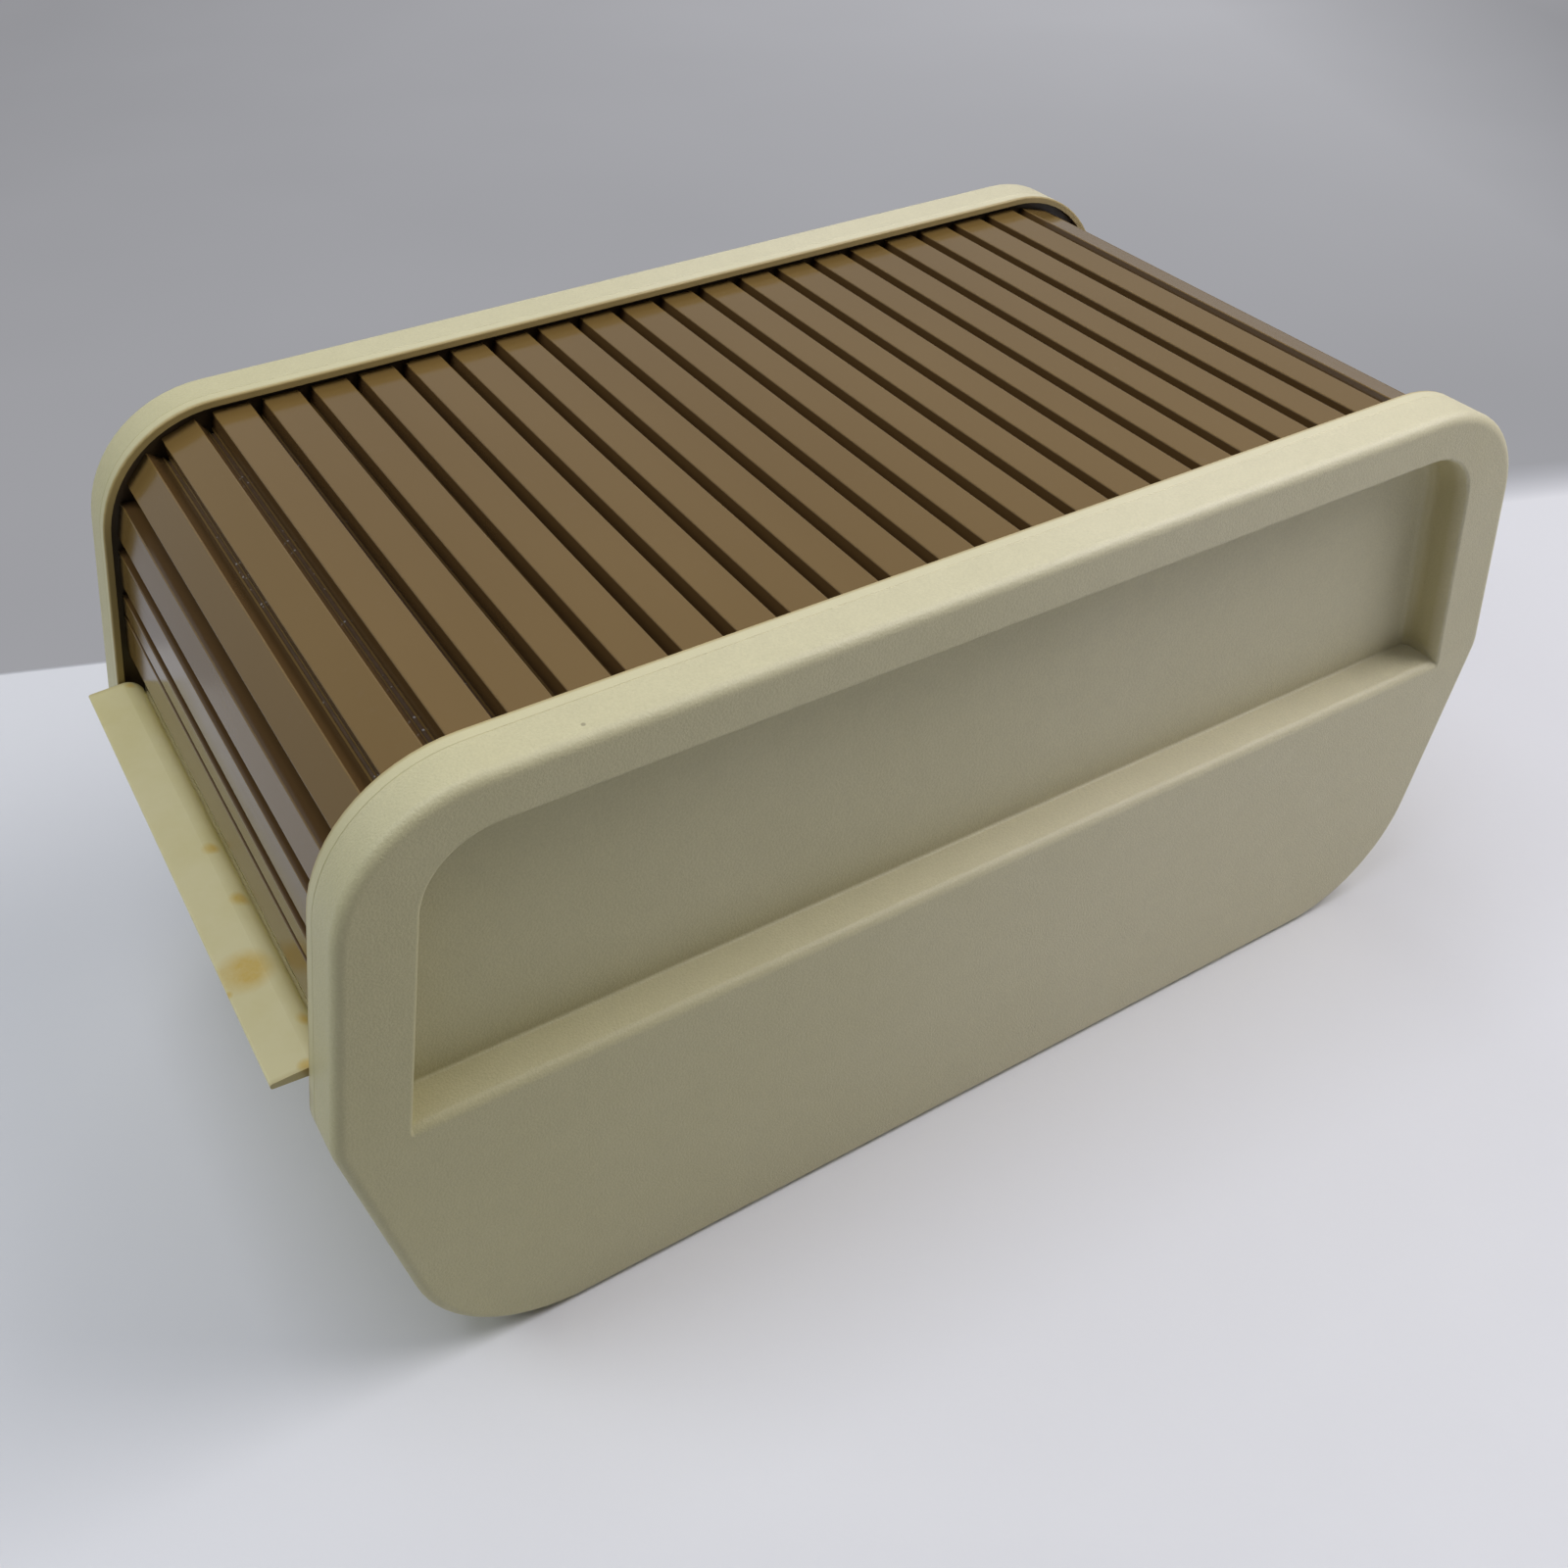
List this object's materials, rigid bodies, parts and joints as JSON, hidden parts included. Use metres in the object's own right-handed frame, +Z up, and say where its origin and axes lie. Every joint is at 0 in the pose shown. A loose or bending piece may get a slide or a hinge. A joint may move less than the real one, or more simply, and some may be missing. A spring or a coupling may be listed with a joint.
{
  "type": "floppy disk case",
  "caption": "Roll-top case for flexible disks: slatted shutter with a handle bar running in tracks between two recessed moulded sides, over a tray with tilting dividers.",
  "frame": {"origin": "on the table under the middle of the whole footprint, handle included", "axes": "+Z up, +Y from the handle at the front to the back, +X along the slats to the right-hand side as seen from the front"},
  "size_m": [0.175, 0.3312, 0.165],
  "materials": {
    "side_panel": "finely textured",
    "track_plate": "satin",
    "tray": "satin",
    "handle": "satin, yellowed",
    "slat": "semi-gloss",
    "divider": "satin",
    "screw": "zinc plated"
  },
  "bodies": {
    "case": {"side_panel_right": "side_panel", "side_panel_left": "side_panel", "track_plate_right": "track_plate", "track_plate_left": "track_plate", "assembly_screws_right": "screw", "assembly_screws_left": "screw", "disk_tray": "tray"},
    "handle": {"handle_bar": "handle", "lead_slat": "slat"},
    "slat_01": {"slat_01": "slat"},
    "slat_02": {"slat_02": "slat"},
    "slat_03": {"slat_03": "slat"},
    "slat_04": {"slat_04": "slat"},
    "slat_05": {"slat_05": "slat"},
    "slat_06": {"slat_06": "slat"},
    "slat_07": {"slat_07": "slat"},
    "slat_08": {"slat_08": "slat"},
    "slat_09": {"slat_09": "slat"},
    "slat_10": {"slat_10": "slat"},
    "slat_11": {"slat_11": "slat"},
    "slat_12": {"slat_12": "slat"},
    "slat_13": {"slat_13": "slat"},
    "slat_14": {"slat_14": "slat"},
    "slat_15": {"slat_15": "slat"},
    "slat_16": {"slat_16": "slat"},
    "slat_17": {"slat_17": "slat"},
    "slat_18": {"slat_18": "slat"},
    "slat_19": {"slat_19": "slat"},
    "slat_20": {"slat_20": "slat"},
    "slat_21": {"slat_21": "slat"},
    "slat_22": {"slat_22": "slat"},
    "slat_23": {"slat_23": "slat"},
    "slat_24": {"slat_24": "slat"},
    "slat_25": {"slat_25": "slat"},
    "slat_26": {"slat_26": "slat"},
    "slat_27": {"slat_27": "slat"},
    "slat_28": {"slat_28": "slat"},
    "slat_29": {"slat_29": "slat"},
    "slat_30": {"slat_30": "slat"},
    "divider_1": {"divider_1": "divider"},
    "divider_2": {"divider_2": "divider"},
    "divider_3": {"divider_3": "divider"},
    "divider_4": {"divider_4": "divider"}
  },
  "joints": [
    {"name": "shutter_slide", "type": "slide", "parent": "case", "child": "handle", "axis": [0, 0.1874, 0.9823], "range_m": [0, 0.024]},
    {"name": "slat_01_travel", "type": "hinge", "parent": "case", "child": "slat_01", "pos_m": [0, 0.10715, 0.07523], "axis": [1, 0, 0], "range_deg": [-5.35, 0]},
    {"name": "slat_02_travel", "type": "hinge", "parent": "case", "child": "slat_02", "pos_m": [0, -0.09393, 0.11953], "axis": [1, 0, 0], "range_deg": [-26.64, 0]},
    {"name": "slat_03_travel", "type": "hinge", "parent": "case", "child": "slat_03", "pos_m": [0, -0.11661, 0.13051], "axis": [1, 0, 0], "range_deg": [-51.54, 0]},
    {"name": "slat_04_travel", "type": "hinge", "parent": "case", "child": "slat_04", "pos_m": [0, -0.11573, 0.12929], "axis": [1, 0, 0], "range_deg": [-48.87, 0]},
    {"name": "slat_05_travel", "type": "hinge", "parent": "case", "child": "slat_05", "pos_m": [0, -0.10963, 0.1028], "axis": [1, 0, 0], "range_deg": [-24.99, 0]},
    {"name": "slat_06_travel", "type": "slide", "parent": "case", "child": "slat_06", "axis": [0, 1, 0.0038], "range_m": [0, 0.02402]},
    {"name": "slat_07_travel", "type": "slide", "parent": "case", "child": "slat_07", "axis": [0, 1, 0], "range_m": [0, 0.024]},
    {"name": "slat_08_travel", "type": "slide", "parent": "case", "child": "slat_08", "axis": [0, 1, 0], "range_m": [0, 0.024]},
    {"name": "slat_09_travel", "type": "slide", "parent": "case", "child": "slat_09", "axis": [0, 1, 0], "range_m": [0, 0.024]},
    {"name": "slat_10_travel", "type": "slide", "parent": "case", "child": "slat_10", "axis": [0, 1, 0], "range_m": [0, 0.024]},
    {"name": "slat_11_travel", "type": "slide", "parent": "case", "child": "slat_11", "axis": [0, 1, 0], "range_m": [0, 0.024]},
    {"name": "slat_12_travel", "type": "slide", "parent": "case", "child": "slat_12", "axis": [0, 1, 0], "range_m": [0, 0.024]},
    {"name": "slat_13_travel", "type": "slide", "parent": "case", "child": "slat_13", "axis": [0, 1, 0], "range_m": [0, 0.024]},
    {"name": "slat_14_travel", "type": "slide", "parent": "case", "child": "slat_14", "axis": [0, 1, 0], "range_m": [0, 0.024]},
    {"name": "slat_15_travel", "type": "slide", "parent": "case", "child": "slat_15", "axis": [0, 1, 0], "range_m": [0, 0.024]},
    {"name": "slat_16_travel", "type": "slide", "parent": "case", "child": "slat_16", "axis": [0, 1, 0], "range_m": [0, 0.024]},
    {"name": "slat_17_travel", "type": "slide", "parent": "case", "child": "slat_17", "axis": [0, 1, 0], "range_m": [0, 0.024]},
    {"name": "slat_18_travel", "type": "slide", "parent": "case", "child": "slat_18", "axis": [0, 1, 0], "range_m": [0, 0.024]},
    {"name": "slat_19_travel", "type": "slide", "parent": "case", "child": "slat_19", "axis": [0, 1, 0], "range_m": [0, 0.024]},
    {"name": "slat_20_travel", "type": "slide", "parent": "case", "child": "slat_20", "axis": [0, 1, 0], "range_m": [0, 0.024]},
    {"name": "slat_21_travel", "type": "slide", "parent": "case", "child": "slat_21", "axis": [0, 1, 0], "range_m": [0, 0.024]},
    {"name": "slat_22_travel", "type": "slide", "parent": "case", "child": "slat_22", "axis": [0, 1, 0], "range_m": [0, 0.024]},
    {"name": "slat_23_travel", "type": "slide", "parent": "case", "child": "slat_23", "axis": [0, 1, 0], "range_m": [0, 0.024]},
    {"name": "slat_24_travel", "type": "hinge", "parent": "case", "child": "slat_24", "pos_m": [0, 0.10898, -0.00774], "axis": [1, 0, 0], "range_deg": [-8.31, 0]},
    {"name": "slat_25_travel", "type": "hinge", "parent": "case", "child": "slat_25", "pos_m": [0, 0.11819, 0.12042], "axis": [1, 0, 0], "range_deg": [-36.87, 0]},
    {"name": "slat_26_travel", "type": "hinge", "parent": "case", "child": "slat_26", "pos_m": [0, 0.1226, 0.13099], "axis": [1, 0, 0], "range_deg": [-52.74, 0]},
    {"name": "slat_27_travel", "type": "hinge", "parent": "case", "child": "slat_27", "pos_m": [0, 0.11836, 0.12746], "axis": [1, 0, 0], "range_deg": [-43.73, 0]},
    {"name": "slat_28_travel", "type": "hinge", "parent": "case", "child": "slat_28", "pos_m": [0, 0.05967, 0.10811], "axis": [1, 0, 0], "range_deg": [-14.81, 0]},
    {"name": "slat_29_travel", "type": "slide", "parent": "case", "child": "slat_29", "axis": [0, 0.1874, -0.9823], "range_m": [0, 0.02398]},
    {"name": "slat_30_travel", "type": "slide", "parent": "case", "child": "slat_30", "axis": [0, 0.1874, -0.9823], "range_m": [0, 0.02398]},
    {"name": "divider_1_tilt", "type": "hinge", "parent": "case", "child": "divider_1", "pos_m": [0, -0.0872, 0.0175], "axis": [1, 0, 0], "range_deg": [0, 22]},
    {"name": "divider_2_tilt", "type": "hinge", "parent": "case", "child": "divider_2", "pos_m": [0, -0.0272, 0.0175], "axis": [1, 0, 0], "range_deg": [0, 22]},
    {"name": "divider_3_tilt", "type": "hinge", "parent": "case", "child": "divider_3", "pos_m": [0, 0.0328, 0.0175], "axis": [1, 0, 0], "range_deg": [0, 22]},
    {"name": "divider_4_tilt", "type": "hinge", "parent": "case", "child": "divider_4", "pos_m": [0, 0.0928, 0.0175], "axis": [1, 0, 0], "range_deg": [0, 22]}
  ],
  "couplings": [
    {"joint": "slat_01_travel", "follows": "shutter_slide", "rad_per_m": -3.8916},
    {"joint": "slat_02_travel", "follows": "shutter_slide", "rad_per_m": -19.374},
    {"joint": "slat_03_travel", "follows": "shutter_slide", "rad_per_m": -37.482},
    {"joint": "slat_04_travel", "follows": "shutter_slide", "rad_per_m": -35.541},
    {"joint": "slat_05_travel", "follows": "shutter_slide", "rad_per_m": -18.176},
    {"joint": "slat_06_travel", "follows": "shutter_slide", "ratio": 1.0007},
    {"joint": "slat_07_travel", "follows": "shutter_slide", "ratio": 1},
    {"joint": "slat_08_travel", "follows": "shutter_slide", "ratio": 1},
    {"joint": "slat_09_travel", "follows": "shutter_slide", "ratio": 1},
    {"joint": "slat_10_travel", "follows": "shutter_slide", "ratio": 1},
    {"joint": "slat_11_travel", "follows": "shutter_slide", "ratio": 1},
    {"joint": "slat_12_travel", "follows": "shutter_slide", "ratio": 1},
    {"joint": "slat_13_travel", "follows": "shutter_slide", "ratio": 1},
    {"joint": "slat_14_travel", "follows": "shutter_slide", "ratio": 1},
    {"joint": "slat_15_travel", "follows": "shutter_slide", "ratio": 1},
    {"joint": "slat_16_travel", "follows": "shutter_slide", "ratio": 1},
    {"joint": "slat_17_travel", "follows": "shutter_slide", "ratio": 1},
    {"joint": "slat_18_travel", "follows": "shutter_slide", "ratio": 1},
    {"joint": "slat_19_travel", "follows": "shutter_slide", "ratio": 1},
    {"joint": "slat_20_travel", "follows": "shutter_slide", "ratio": 1},
    {"joint": "slat_21_travel", "follows": "shutter_slide", "ratio": 1},
    {"joint": "slat_22_travel", "follows": "shutter_slide", "ratio": 1},
    {"joint": "slat_23_travel", "follows": "shutter_slide", "ratio": 1},
    {"joint": "slat_24_travel", "follows": "shutter_slide", "rad_per_m": -6.0431},
    {"joint": "slat_25_travel", "follows": "shutter_slide", "rad_per_m": -26.813},
    {"joint": "slat_26_travel", "follows": "shutter_slide", "rad_per_m": -38.351},
    {"joint": "slat_27_travel", "follows": "shutter_slide", "rad_per_m": -31.803},
    {"joint": "slat_28_travel", "follows": "shutter_slide", "rad_per_m": -10.771},
    {"joint": "slat_29_travel", "follows": "shutter_slide", "ratio": 0.999},
    {"joint": "slat_30_travel", "follows": "shutter_slide", "ratio": 0.999}
  ]
}
